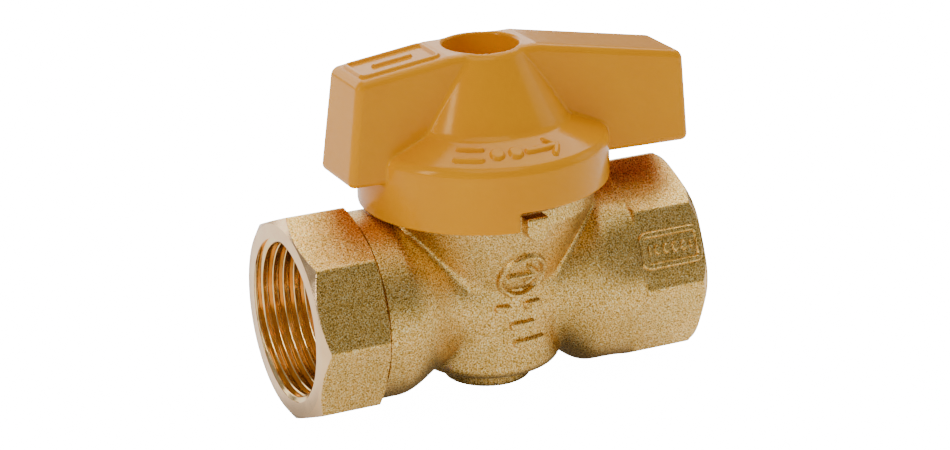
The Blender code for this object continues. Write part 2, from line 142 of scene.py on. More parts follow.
# Handle
CAP_R = HANDLE_HIGH[1]
SKIRT_Z = HANDLE_LOW[2]
LIP_Z = HANDLE_HIGH[2]
WING_X = (HANDLE_LOW[0], HANDLE_HIGH[0])
CUT_Z = SKIRT_Z + 3.2
CUT_DEGREES = (-9.0, 99.0)
SKIRT_IN_R = CAP_R - 1.9
CEILING_Z = SKIRT_Z + 7.7
HUB_BASE = (14.1, 29.3)
HUB_TOP = (7.9, 40.0)
CAP_SLOPE = 0.485
HUB_FLOOR_Z = 24.5
RECESS_R = (5.6, 6.2)
RECESS_FLOOR_Z = 31.0
SCREW_HOLE_R = 2.7
STEM_SOCKET = (4.3, 3.2, 28.5)  # radius, half the width across the flats, ceiling
WING_HALF = 5.9
WING_DRAFT = 0.028
WING_TOP_Z = 40.0
WING_BEND_X = 7.0
WING_SLOPES = (0.124, 0.187)
LEFT_END = (22.3, 0.132)  # height of the tip and slope of the end
RIGHT_END = (20.9, 0.061)
WING_WALL = 2.0
WING_ROOF = 3.5
MARK_R = 17.1


# ---- numbers to surfaces -------------------------------------------------------------------------


def smooth_min(a, b, width):
    share = np.clip(0.5 + 0.5 * (b - a) / width, 0, 1)
    return b + (a - b) * share - width * share * (1 - share)


def round_max(radius, *fields):
    """Intersection of fields whose faces meet at about a right angle, with its edges rounded."""
    outside = np.sqrt(sum(np.maximum(field + radius, 0) ** 2 for field in fields))
    inside = np.minimum(np.maximum.reduce([field + radius for field in fields]), 0)
    return outside + inside - radius


def smooth_step(t):
    t = np.clip(t, 0, 1)
    return t * t * (3 - 2 * t)


def gradient(field, points, reach=0.02):
    """The field's unit slope at each point."""
    slope = np.empty_like(points)
    for axis in range(3):
        step = np.zeros(3)
        step[axis] = reach
        slope[:, axis] = field(*(points + step).T) - field(*(points - step).T)
    return slope / np.maximum(np.linalg.norm(slope, axis=1, keepdims=True), 1e-12)


def trace(field, start, direction, share=0.7, steps=90):
    """Walks from outside along each direction until the field reaches zero."""
    points = np.array(start, float)
    for _ in range(steps):
        points += direction * (share * field(*points.T))[:, None]
    return points


def link_mesh(name, points, faces, look):
    """An object in the scene from points in millimetres and a list of faces."""
    mesh = bpy.data.meshes.new(name)
    mesh.from_pydata((np.asarray(points) * MM).tolist(), [], faces)
    mesh.materials.append(look)
    piece = bpy.data.objects.new(name, mesh)
    bpy.context.scene.collection.objects.link(piece)
    return piece


def add_mesh(name, points, faces, body, look, stands_for=(), normals=None, sharp=35):
    """A piece from points in millimetres, riding on a body."""
    piece = link_mesh(name, points, np.asarray(faces).tolist(), look)
    mesh = piece.data
    mesh.validate()
    mesh.shade_smooth()
    if normals is not None:
        mesh.normals_split_custom_set_from_vertices(normals.tolist())
    elif sharp:
        mesh.set_sharp_from_angle(angle=math.radians(sharp))
    finish_piece(piece, body, stands_for)
    return piece


def shade_from(piece, field, near=0.02):
    """Takes the shading normals from the field wherever the mesh lies on its surface."""
    mesh = piece.data
    corners = np.empty(len(mesh.loops), np.int64)
    mesh.loops.foreach_get("vertex_index", corners)
    points = np.empty(len(mesh.vertices) * 3)
    mesh.vertices.foreach_get("co", points)
    points = points.reshape(-1, 3) / MM
    slope = gradient(field, points)
    slope[np.abs(field(*points.T)) > near] = 0
    faces = np.empty(len(mesh.polygons) * 3)
    mesh.polygons.foreach_get("normal", faces)
    sizes = np.empty(len(mesh.polygons), np.int64)
    mesh.polygons.foreach_get("loop_total", sizes)
    flat = np.repeat(faces.reshape(-1, 3), sizes, 0)
    normals = slope[corners]
    normals[(normals * flat).sum(1) < 0.8] = 0
    mesh.normals_split_custom_set(normals.tolist())


def finish_piece(piece, body, stands_for=()):
    if body:
        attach(piece, body)
    if stands_for:
        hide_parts(*stands_for)


def skin(field, low, high, step):
    """A smooth closed skin over the field's zero surface: one vertex in each grid cell it crosses."""
    axes = [np.arange(a, b + step, step) for a, b in zip(low, high)]
    shape = tuple(len(axis) for axis in axes)
    values = np.empty(shape, np.float32)
    plane_y, plane_z = np.meshgrid(axes[1], axes[2], indexing="ij")
    for i, x in enumerate(axes[0]):
        values[i] = field(np.full(plane_y.shape, x), plane_y, plane_z)
    inside = values < 0

    corners = [(i, j, k) for i in (0, 1) for j in (0, 1) for k in (0, 1)]
    cut = [slice(0, n - 1) for n in shape]

    def at(corner):
        return tuple(slice(c, s.stop + c) for c, s in zip(corner, cut))

    count = sum(inside[at(c)].astype(np.int8) for c in corners)
    cells = np.argwhere((count > 0) & (count < 8))
    index = np.full([n - 1 for n in shape], -1, np.int64)
    index[tuple(cells.T)] = np.arange(len(cells))

    total, hits = np.zeros((len(cells), 3)), np.zeros(len(cells))
    for a in corners:
        for axis in range(3):
            if a[axis]:
                continue
            b = tuple(c + (n == axis) for n, c in enumerate(a))
            first, second = values[tuple((cells + a).T)], values[tuple((cells + b).T)]
            crossed = (first < 0) != (second < 0)
            share = np.where(crossed, first / np.where(crossed, first - second, 1), 0)
            point = cells + np.array(a) + share[:, None] * (np.array(b) - np.array(a))
            total += point * crossed[:, None]
            hits += crossed
    points = np.array(low) + total / hits[:, None] * step
    for _ in range(3):
        points -= np.clip(field(*points.T), -step, step)[:, None] * gradient(field, points)

    quads = []
    for axis in range(3):
        u, v = (axis + 1) % 3, (axis + 2) % 3
        one = [slice(None)] * 3
        two = [slice(None)] * 3
        one[axis], two[axis] = slice(0, -1), slice(1, None)
        for turn in (True, False):
            leaving = inside[tuple(one)] & ~inside[tuple(two)]
            entering = ~inside[tuple(one)] & inside[tuple(two)]
            at_edge = np.argwhere(leaving if turn else entering)
            offsets = [(0, 0), (1, 0), (1, 1), (0, 1)] if turn else [(0, 0), (0, 1), (1, 1), (1, 0)]
            ring = []
            for du, dv in offsets:
                cell = at_edge.copy()
                cell[:, u] -= 1 - du
                cell[:, v] -= 1 - dv
                ring.append(index[tuple(cell.T)])
            quads.append(np.stack(ring, 1))
    return points, np.concatenate(quads), gradient(field, points)


def grid_faces(rows, columns, close_rows, flip=False):
    """Quads over a grid whose columns always close on themselves."""
    i, j = np.meshgrid(np.arange(rows if close_rows else rows - 1), np.arange(columns), indexing="ij")
    i, j = i.ravel(), j.ravel()
    below, after = (i + 1) % rows, (j + 1) % columns
    quads = np.stack([i * columns + j, i * columns + after, below * columns + after, below * columns + j], 1)
    return quads[:, ::-1] if flip else quads


def lathe(outline, columns=96, axis=2):
    """A ring turned from a closed (radius, height) outline that runs down its outer side."""
    angle = np.linspace(0, 2 * math.pi, columns, endpoint=False)
    radius, height = np.array(outline).T
    flat = np.stack([
        np.outer(radius, np.cos(angle)),
        np.outer(radius, np.sin(angle)),
        np.repeat(height[:, None], columns, 1),
    ], -1).reshape(-1, 3)
    if axis == 0:
        flat = flat[:, [2, 0, 1]]
    return flat, grid_faces(len(outline), columns, True, flip=True)


def rounded(outline, radius, steps=4):
    """A closed outline with each corner replaced by a short curve."""
    smooth = []
    count = len(outline)
    for i in range(count):
        before, corner, after = (np.array(outline[(i + k) % count], float) for k in (-1, 0, 1))
        reach = [min(radius, np.linalg.norm(p - corner) * 0.45) for p in (before, after)]
        start = corner + (before - corner) / np.linalg.norm(before - corner) * reach[0]
        end = corner + (after - corner) / np.linalg.norm(after - corner) * reach[1]
        for t in np.linspace(0, 1, steps + 1):
            smooth.append(tuple((1 - t) ** 2 * start + 2 * t * (1 - t) * corner + t * t * end))
    return smooth


# ---- materials -----------------------------------------------------------------------------------


class Look:
    """A Principled material with helpers for its node tree."""

    def __init__(self, name, colour, metallic, roughness, **values):
        self.material = bpy.data.materials.new(name)
        self.material.use_nodes = True
        self.tree = self.material.node_tree
        self.shader = self.tree.nodes["Principled BSDF"]
        self.set("Base Color", (*colour, 1))
        self.set("Metallic", metallic)
        self.set("Roughness", roughness)
        for key, value in values.items():
            self.set(key.replace("_", " "), value)
        self.place = self.tree.nodes.new("ShaderNodeTexCoord").outputs["Object"]

    def set(self, socket, value):
        self.shader.inputs[socket].default_value = value

    def node(self, kind, links=(), **values):
        made = self.tree.nodes.new(kind)
        for key, value in values.items():
            setattr(made, key, value)
        for socket, source in dict(links).items():
            if hasattr(source, "links"):
                self.tree.links.new(source, made.inputs[socket])
            else:
                made.inputs[socket].default_value = source
        return made

    def noise(self, size_mm, detail=2, roughness=0.5, stretch=None):
        """Noise whose features are about this size."""
        where = self.place
        if stretch:
            where = self.node("ShaderNodeMapping", {"Vector": where, "Scale": stretch}).outputs[0]
        values = {"Vector": where, "Scale": 1 / (size_mm * MM), "Detail": detail, "Roughness": roughness}
        return self.node("ShaderNodeTexNoise", values).outputs["Fac"]

    def ramp(self, source, *stops):
        """Maps a value through (place, value or colour) stops."""
        made = self.node("ShaderNodeValToRGB", {"Fac": source})
        elements = made.color_ramp.elements
        while len(elements) < len(stops):
            elements.new(0.5)
        for element, (at, value) in zip(elements, stops):
            element.position = at
            element.color = (*value, 1) if isinstance(value, tuple) else (value, value, value, 1)
        return made.outputs["Color"]

    def math(self, operation, first, second=0.0):
        return self.node("ShaderNodeMath", {0: first, 1: second}, operation=operation).outputs[0]

    def mix(self, share, first, second, blend="MIX"):
        made = self.node("ShaderNodeMix", data_type="RGBA", blend_type=blend)
        for socket, value in ((0, share), (6, first), (7, second)):
            if hasattr(value, "links"):
                self.tree.links.new(value, made.inputs[socket])
            else:
                made.inputs[socket].default_value = value
        return made.outputs[2]

    def drive(self, socket, source):
        self.tree.links.new(source, self.shader.inputs[socket])

    def bump(self, height, distance_mm, strength=1.0, after=None):
        links = {"Height": height, "Distance": distance_mm * MM, "Strength": strength}
        made = self.node("ShaderNodeBump", links)
        if after is not None:
            self.tree.links.new(after, made.inputs["Normal"])
        return made.outputs["Normal"]


def forged_brass():
    """Blasted forging: a fine sparkling grain, cloudy tone and a soft sheen."""
    look = Look("forged_brass", (0.60, 0.38, 0.13), 1.0, 0.4)
    grain = look.noise(0.21, 2, 0.8)
    speck = look.noise(0.12, 1, 0.6)
    clouds = look.noise(3.5, 3, 0.6)
    tone = look.ramp(
        grain,
        (0.38, (0.17, 0.077, 0.003)),
        (0.46, (0.70, 0.395, 0.06)),
        (0.54, (0.99, 0.61, 0.16)),
        (0.62, (1.0, 0.88, 0.48)),
    )
    cloudy = look.ramp(clouds, (0.35, (0.90, 0.90, 0.82)), (0.65, (1.0, 0.98, 0.95)))
    look.drive("Base Color", look.mix(1.0, tone, cloudy, "MULTIPLY"))
    look.drive("Roughness", look.ramp(speck, (0.35, 0.24), (0.65, 0.46)))
    coarse = look.bump(grain, 0.05, 0.8)
    look.drive("Normal", look.bump(speck, 0.02, 0.7, coarse))
    return look.material


def turned_brass(name, roughness, lines_mm, colour=(1.0, 0.66, 0.34)):
    """Machined brass with fine tool marks that run round the flow axis."""
    look = Look(name, colour, 1.0, roughness)
    parts = look.node("ShaderNodeSeparateXYZ", {"Vector": look.place}).outputs
    reach = look.math(
        "SQRT", look.math("ADD", look.math("POWER", parts["Y"], 2.0), look.math("POWER", parts["Z"], 2.0))
    )
    lines = look.math("SINE", look.math("MULTIPLY", look.math("ADD", reach, parts["X"]), 6283.0 / lines_mm))
    wear = look.noise(1.6, 3, 0.6)
    look.drive("Roughness", look.ramp(wear, (0.35, roughness * 0.8), (0.65, roughness * 1.35)))
    look.drive("Normal", look.bump(look.math("ADD", lines, wear), 0.004, 0.5))
    tint = look.ramp(look.noise(3.0, 2), (0.35, tuple(c * 0.9 for c in colour)), (0.65, colour))
    look.drive("Base Color", tint)
    return look.material


def thread_brass():
    """Cut thread flanks: smooth, bright and a little redder than the faces."""
    look = Look("thread_brass", (0.90, 0.56, 0.20), 1.0, 0.14)
    wear = look.noise(2.5, 2)
    look.drive("Base Color", look.ramp(wear, (0.35, (0.90, 0.60, 0.23)), (0.65, (0.98, 0.70, 0.34))))
    look.drive("Roughness", look.ramp(wear, (0.35, 0.12), (0.65, 0.2)))
    look.drive("Normal", look.bump(look.noise(0.5, 2), 0.0006, 0.4))
    return look.material


def enamel():
    """Glossy amber powder enamel over a die casting, with the faintest orange peel."""
    look = Look("amber_enamel", (0.84, 0.33, 0.0), 0.0, 0.16)
    look.set("Specular Tint", (1.0, 0.75, 0.40, 1.0))
    look.set("Specular IOR Level", 0.35)
    drift = look.noise(9.0, 2)
    look.drive("Base Color", look.ramp(drift, (0.3, (0.83, 0.315, 0.0)), (0.7, (0.85, 0.34, 0.0))))
    peel = look.noise(1.8, 2, 0.4)
    look.drive("Roughness", look.ramp(peel, (0.3, 0.13), (0.7, 0.2)))
    look.drive("Normal", look.bump(peel, 0.01, 0.25))
    return look.material


def white_ptfe():
    look = Look("white_ptfe", (0.84, 0.83, 0.79), 0.0, 0.42, Subsurface_Weight=0.1)
    look.set("Subsurface Radius", (0.001, 0.001, 0.001))
    cloud = look.noise(1.2, 3)
    look.drive("Base Color", look.ramp(cloud, (0.3, (0.80, 0.79, 0.74)), (0.7, (0.87, 0.86, 0.83))))
    look.drive("Normal", look.bump(look.noise(0.25, 2), 0.01, 0.3))
    return look.material


def polished(name, colour, roughness, scratch):
    """Plated or rolled metal with hairline scratches."""
    look = Look(name, colour, 1.0, roughness)
    lines = look.noise(0.5, 3, 0.6, stretch=(1.0, 0.12, 1.0))
    look.drive("Roughness", look.ramp(lines, (0.35, roughness * 0.7), (0.65, roughness + scratch)))
    look.drive("Normal", look.bump(lines, 0.003, 0.4))
    tint = look.ramp(look.noise(2.2, 2), (0.3, tuple(c * 0.92 for c in colour)), (0.7, colour))
    look.drive("Base Color", tint)
    return look.material


def black_rubber():
    look = Look("black_rubber", (0.03, 0.03, 0.03), 0.0, 0.55)
    dust = look.noise(0.5, 3)
    look.drive("Base Color", look.ramp(dust, (0.3, (0.02, 0.02, 0.02)), (0.8, (0.06, 0.06, 0.055))))
    look.drive("Normal", look.bump(dust, 0.01, 0.4))
    return look.material


# ---- body and end connector ----------------------------------------------------------------------


def octagon(y, z, corner_round=0.9):
    """Distance to an octagon with a corner up and its corners rounded."""
    reach = np.hypot(y, z)
    eighth = math.pi / 4
    angle = np.arctan2(z, y) % eighth - eighth / 2
    across, along = reach * np.cos(angle), reach * np.abs(np.sin(angle))
    inner = FLAT_R - corner_round
    corner = inner * math.tan(eighth / 2)
    beyond = np.hypot(across - inner, along - corner) - corner_round
    return np.where(along > corner, beyond, across - FLAT_R)


def outlet_field(x, y, z):
    cone = (np.hypot(y, z) - CONE_FACE_R - CONE_SLOPE * (OUTLET_X - x)) / math.hypot(1, CONE_SLOPE)
    return np.maximum(round_max(0.35, octagon(y, z), OUTLET_STEP_X - x), cone)


def neck_field(x, y, z):
    """Round necks that grow from the waist, the outlet's turning into an octagon."""
    start, end = INLET_NECK_X
    inlet = WAIST_R + (NECK_R - WAIST_R) * smooth_step((start - x) / (start - end))
    inlet = inlet - SEAM_GROOVE[1] * smooth_step((SEAM_X + SEAM_GROOVE[0] - x) / 0.25)
    start, end = OUTLET_NECK_X
    outlet = WAIST_R + (OUTLET_NECK_R - WAIST_R) * smooth_step((x - start) / (end - start))
    round_neck = np.hypot(y, z) - np.maximum(inlet, outlet)
    faceted = octagon(y, z, 9.0) + FLAT_R - outlet
    share = smooth_step((x - FACETS_X[0]) / (FACETS_X[1] - FACETS_X[0]))
    return (round_neck * (1 - share) + faceted * share) * 0.8


def barrel_field(x, y, z, flared=True):
    reach = np.hypot(x, y)
    rise = np.clip((z - FLARE_Z) / (BARREL_TOP_Z - FLARE_Z), 0, 1.2)
    flare = (FLANGE_R - BARREL_R) * rise * flared
    side = (reach - BARREL_R - flare) * 0.85
    floor = (BARREL_FLOOR_Z + BARREL_FLOOR_RISE * (reach / BARREL_R) ** 2 - z) * 0.9
    barrel = np.maximum(round_max(1.2, side, floor), z - BARREL_TOP_Z)
    boss = round_max(0.35, reach - BOSS_R, BOSS_Z - z)
    return smooth_min(barrel, np.maximum(boss, z + 8), 0.9)


def body_field(x, y, z, flared=True):
    forged = smooth_min(neck_field(x, y, z), outlet_field(x, y, z), 0.7)
    reach = np.hypot(x, y)
    ring = np.abs(reach - RELIEF_R[0]) - RELIEF_R[1]
    relief = np.maximum(ring, np.maximum(RELIEF_Z - z, RELIEF_X - x))
    forged = round_max(0.25, forged, -relief)
    return smooth_min(forged, barrel_field(x, y, z, flared), 1.1)


def unflared_field(x, y, z):
    return body_field(x, y, z, False)


def around(stations, field, columns):
    """The outermost surface of a field, as points on rays from the flow axis at each station."""
    angle = np.linspace(0, 2 * math.pi, columns, endpoint=False)
    x, turn = np.meshgrid(stations, angle, indexing="ij")
    direction = np.stack([np.zeros(x.size), np.cos(turn.ravel()), np.sin(turn.ravel())], 1)
    start = direction * RAY_START_R
    start[:, 0] = x.ravel()
    return trace(field, start, -direction).reshape(len(stations), columns, 3)


def rings(outline, columns):
    """Plain rings round the flow axis at (x, radius) points."""
    angle = np.linspace(0, 2 * math.pi, columns, endpoint=False)
    return np.array([
        np.stack([np.full(columns, x), radius * np.cos(angle), radius * np.sin(angle)], 1)
        for x, radius in outline
    ])


def spread(*pieces):
    """Stations over several stretches, each (start, end, spacing)."""
    found = []
    for start, end, spacing in pieces:
        count = max(1, round(abs(end - start) / spacing))
        found.extend(np.linspace(start, end, count, endpoint=False))
    found.append(pieces[-1][1])
    return np.array(found)


def add_tube(name, outside, inside, body, look, stands_for):
    """A closed tube whose outside rows run one way along the flow axis and whose inside rows run back."""
    rows = np.concatenate([outside, inside])
    faces = grid_faces(len(rows), rows.shape[1], True)
    return add_mesh(name, rows.reshape(-1, 3), faces, body, look, stands_for, sharp=32)


def make_thread(name, face_x, inward, body, look):
    """A female taper pipe thread: crests inward, rows that follow the helix, and a countersunk mouth."""
    columns, per_turn = 180, 16
    rows = int((THREAD_DEPTH / THREAD_PITCH + 3) * per_turn)
    row, column = np.meshgrid(np.arange(rows), np.arange(columns + 1), indexing="ij")
    turns = row / per_turn - 2.5 + THREAD_START + column / columns
    depth = np.clip(turns * THREAD_PITCH, 0.05, THREAD_DEPTH)
    from_crest = np.abs(row / per_turn % 1.0 - 0.5) * 2
    cut = np.clip((0.62 - from_crest) / 0.54, 0, 1)
    fade = smooth_step((THREAD_DEPTH - depth) / THREAD_RUN_OUT)
    radius = THREAD_R - THREAD_TAPER * depth + THREAD_HEIGHT * cut * fade
    radius = np.maximum(radius, MOUTH_R - depth * COUNTERSINK_SLOPE)
    angle = 2 * math.pi * column / columns * -inward
    points = np.stack([face_x + inward * depth, radius * np.cos(angle), radius * np.sin(angle)], -1)
    i, j = np.meshgrid(np.arange(rows - 1), np.arange(columns), indexing="ij")
    first = (i * (columns + 1) + j).ravel()
    quads = np.stack([first, first + 1, first + columns + 2, first + columns + 1], 1)
    piece = add_mesh(name, points.reshape(-1, 3), quads, None, look, sharp=None)
    weld(piece, 0.004)
    finish_piece(piece, body)
    return piece


def weld(piece, distance_mm):
    """Merges points that coincide and drops the faces that collapse."""
    bm = bmesh.new()
    bm.from_mesh(piece.data)
    bmesh.ops.remove_doubles(bm, verts=bm.verts, dist=distance_mm * MM)
    bmesh.ops.dissolve_degenerate(bm, edges=bm.edges, dist=distance_mm * MM / 2)
    bm.to_mesh(piece.data)
    bm.free()


def connector_field(x, y, z):
    cone = (np.hypot(y, z) - CONE_FACE_R - CONE_SLOPE * (x - INLET_X)) / math.hypot(1, CONE_SLOPE)
    back = (np.hypot(y, z) - FLAT_R - 0.4 - 2.0 * (SEAM_X - x)) / math.hypot(1, 2.0)
    return np.maximum(octagon(y, z), np.maximum(cone, back))


def make_end_connector(brass, bright, cut):
    stations = spread(
        (INLET_X, INLET_X + 1.6, 0.1),
        (INLET_X + 1.6, SEAM_X - 0.8, 0.5),
        (SEAM_X - 0.8, SEAM_X, 0.08),
    )
    outside = around(stations, connector_field, COLUMNS)
    inside = rings([
        (SEAM_X, SPIGOT_R),
        (SPIGOT_X, SPIGOT_R),
        (SPIGOT_X, NOSE_R),
        (NOSE_X, NOSE_R),
        (NOSE_X, WATERWAY_R),
        (INLET_X + THREAD_DEPTH + PORT_CONE, WATERWAY_R),
        (INLET_X + THREAD_DEPTH - 0.2, THREAD_R + THREAD_HEIGHT),
        (INLET_X + 1.0, THREAD_R + THREAD_HEIGHT + 0.15),
        (INLET_X + 0.02, MOUTH_R + 0.1),
    ], COLUMNS)
    piece = add_tube("connector_forging", outside, inside, "valve_body", brass, ["end_connector"])
    paint_machined(piece, bright, INLET_X, -1)
    shade_from(piece, connector_field)
    make_thread("inlet_thread", INLET_X, 1, "valve_body", cut)
    add_face_ring("inlet_face_ring", INLET_X, -1, bright)


def paint_machined(piece, bright, face_x, side):
    """The bores and the chamfered end take the machined material."""
    piece.data.materials.append(bright)
    for face in piece.data.polygons:
        centre = face.center / MM
        reach = math.hypot(centre.y, centre.z)
        inward = (face.normal.y * centre.y + face.normal.z * centre.z) / reach
        in_bore = reach < BORES_R and (inward < -0.5 or abs(face.normal.x) > 0.8)
        on_chamfer = abs(centre.x - face_x) < 1.5 and side * face.normal.x > 0.45
        if in_bore or on_chamfer:
            face.material_index = 1


def add_face_ring(name, face_x, side, look):
    """The turned ring round the port's mouth, a hair proud of the forging."""
    out, inner = CONE_FACE_R - 0.02, MOUTH_R - 0.14
    columns = 240
    outline = [(inner, 0.0), (out - 0.12, 0.0), (out, -0.05), (out, -0.28), (inner, -0.28)]
    rows = rings([(face_x + side * height, radius) for radius, height in outline], columns)
    faces = grid_faces(len(outline), columns, True, side > 0)
    return add_mesh(name, rows.reshape(-1, 3), faces, "valve_body", look)


def make_bonnet(brass):
    """The flange and the bonnet, as one ring round the stem axis."""
    outline = [
        (3.0, BONNET_TOP_Z),
        (BONNET_R, BONNET_TOP_Z),
        (BONNET_R, FLANGE_Z[1]),
        (FLANGE_R, FLANGE_Z[1]),
        (FLANGE_R, FLANGE_Z[0]),
        (3.0, FLANGE_Z[0] - 2.5),
    ]
    points, faces = lathe(rounded(outline, 0.45), 240)
    return add_mesh("bonnet", points, faces, None, brass)


def make_stem_bore(look):
    """The cutter for the packing's, the stem's and the collar's bores."""
    packing_r, packing_z = PACKING_BORE
    collar_r, collar_z = COLLAR_BORE
    return add_solid_lathe("stem_bore", [
        (packing_r, 24.0),
        (packing_r, packing_z),
        (STEM_BORE_R, packing_z),
        (STEM_BORE_R, collar_z),
        (collar_r, collar_z),
        (collar_r, 5.0),
    ], look)


def make_body(brass, bright, cut):
    stations = spread(
        (SEAM_X, SEAM_X + 0.9, 0.15),
        (SEAM_X + 0.9, -20.0, 0.5),
        (-20.0, -5.0, 0.27),
        (-5.0, 5.0, 0.35),
        (5.0, 18.0, 0.27),
        (18.0, OUTLET_STEP_X - 1.0, 0.5),
        (OUTLET_STEP_X - 1.0, OUTLET_STEP_X + 0.8, 0.12),
        (OUTLET_STEP_X + 0.8, OUTLET_X - 1.6, 0.5),
        (OUTLET_X - 1.6, OUTLET_X, 0.1),
    )
    outside = around(stations, unflared_field, COLUMNS)
    inside = rings([
        (OUTLET_X - 0.02, MOUTH_R + 0.1),
        (OUTLET_X - 1.0, THREAD_R + THREAD_HEIGHT + 0.15),
        (OUTLET_X - THREAD_DEPTH + 0.2, THREAD_R + THREAD_HEIGHT),
        (OUTLET_X - THREAD_DEPTH - PORT_CONE, WATERWAY_R),
        (SEAT_X, WATERWAY_R),
        (SEAT_X, CHAMBER_R),
        (CHAMBER_X, CHAMBER_R),
        (CHAMBER_X, SPIGOT_R + GAP),
        (SEAM_X, SPIGOT_R + GAP),
    ], COLUMNS)
    forging = add_tube("body_forging", outside, inside, None, brass, ())
    for part in (make_bonnet(brass), make_lug(brass)):
        combine(forging, part, "UNION")
    combine(forging, make_stem_bore(brass), "DIFFERENCE")
    shade_from(forging, body_field, 0.12)
    finish_piece(forging, "valve_body", ["body"])
    paint_machined(forging, bright, OUTLET_X, 1)
    make_thread("outlet_thread", OUTLET_X, -1, "valve_body", cut)
    add_face_ring("outlet_face_ring", OUTLET_X, 1, bright)


def flare_field(x, y, z):
    """A thin solid under the flange, sunk into the forging where the flare has run out."""
    plain_body = unflared_field(x, y, z)
    whole = body_field(x, y, z)
    reach = np.hypot(x, y)
    sunk = 0.12 * (1 - smooth_step((plain_body - whole) / 0.15))
    return np.maximum.reduce([
        whole + sunk,
        FLARE_Z - 1.0 - z,
        z - BARREL_TOP_Z + 0.1,
        reach - FLANGE_R + 0.1,
        BARREL_R - 0.9 - reach,
        -0.9 - plain_body,
    ])


def make_flare(brass):
    """The flare over the necks, which rays from the flow axis can't follow."""
    size = FLANGE_R + 1.0
    low = (-size, -size, FLARE_Z - 1.5)
    high = (size, size, BARREL_TOP_Z + 0.8)
    step = 0.28
    points, faces, _ = skin(flare_field, low, high, step)
    flare = add_mesh("body_flare", points, faces, "valve_body", brass)
    shade_from(flare, body_field, 0.14)


def add_solid_lathe(name, outline, look):
    """A turned solid with flat ends, for cutting."""
    columns = 64
    points, _ = lathe(outline, columns)
    faces = grid_faces(len(outline), columns, False, flip=True)
    ends = np.array([(0, 0, outline[0][1]), (0, 0, outline[-1][1])])
    top, bottom = len(points), len(points) + 1
    last = (len(outline) - 1) * columns
    caps = []
    for j in range(columns):
        after = (j + 1) % columns
        caps.append((top, j, after))
        caps.append((bottom, last + after, last + j))
    return link_mesh(name, np.concatenate([points, ends]), faces.tolist() + caps, look)


def combine(target, other, operation):
    """Applies a Boolean and removes the other object."""
    step = target.modifiers.new(other.name, "BOOLEAN")
    step.operation = operation
    step.solver = "MANIFOLD"
    step.object = other
    graph = bpy.context.evaluated_depsgraph_get()
    mesh = bpy.data.meshes.new_from_object(target.evaluated_get(graph))
    target.modifiers.clear()
    target.data = mesh
    bpy.data.objects.remove(other)
    mesh.shade_smooth()
    mesh.set_sharp_from_angle(angle=math.radians(32))


def make_lug(brass):
    """The stop lug: flat on top, half round below, its edges softened."""
    middle_z = LUG_Z[0] + LUG_HALF

    def field(x, y, z):
        below = np.hypot(x, z - middle_z) - LUG_HALF
        profile = np.where(z < middle_z, below, np.abs(x) - LUG_HALF)
        return round_max(0.4, profile, z - LUG_Z[1], np.hypot(x, y) - LUG_REACH[1], y + LUG_REACH[0])

    points, quads, _ = skin(field, (-2.6, -20.9, 13.2), (2.6, -15.0, 18.3), 0.16)
    return add_mesh("stop_lug", points, quads, None, brass)


# ---- handle --------------------------------------------------------------------------------------


def wing_top(x):
    """Height of the wings' top at x: two slopes that meet over the hub."""
    left = LIP_Z + WING_SLOPES[0] * (x + WING_BEND_X)
    right = LIP_Z - WING_SLOPES[1] * (x - WING_BEND_X)
    return np.minimum(np.minimum(left, right), LIP_Z - 0.1)


def wing_sides(y, z):
    return np.abs(y) - WING_HALF - WING_DRAFT * (WING_TOP_Z - z)


def right_end(x, z):
    low_z, slope = RIGHT_END
    return (x - WING_X[1] + slope * (z - low_z)) / math.hypot(1, slope)


def wing_field(x, y, z):
    sides = wing_sides(y, z)
    low_z, slope = LEFT_END
    left = (-x + WING_X[0] + slope * (z - low_z)) / math.hypot(1, slope)
    right = right_end(x, z)
    top = (z - wing_top(x)) * 0.98
    bottom = 21.68 - 0.0225 * x - z
    return round_max(1.25, sides, np.maximum(left, right), np.maximum(top, bottom))


def wing_pocket(x, y, z):
    """The cored underside of the long wing, open at the bottom."""
    sides = wing_sides(y, z) + WING_WALL
    end = right_end(x, z) + WING_WALL
    return round_max(0.6, sides, np.maximum(end, CAP_R + 1.2 - x), z - wing_top(x) + WING_ROOF)


def cap_top(reach):
    return HUB_BASE[1] - CAP_SLOPE * (reach - HUB_BASE[0])


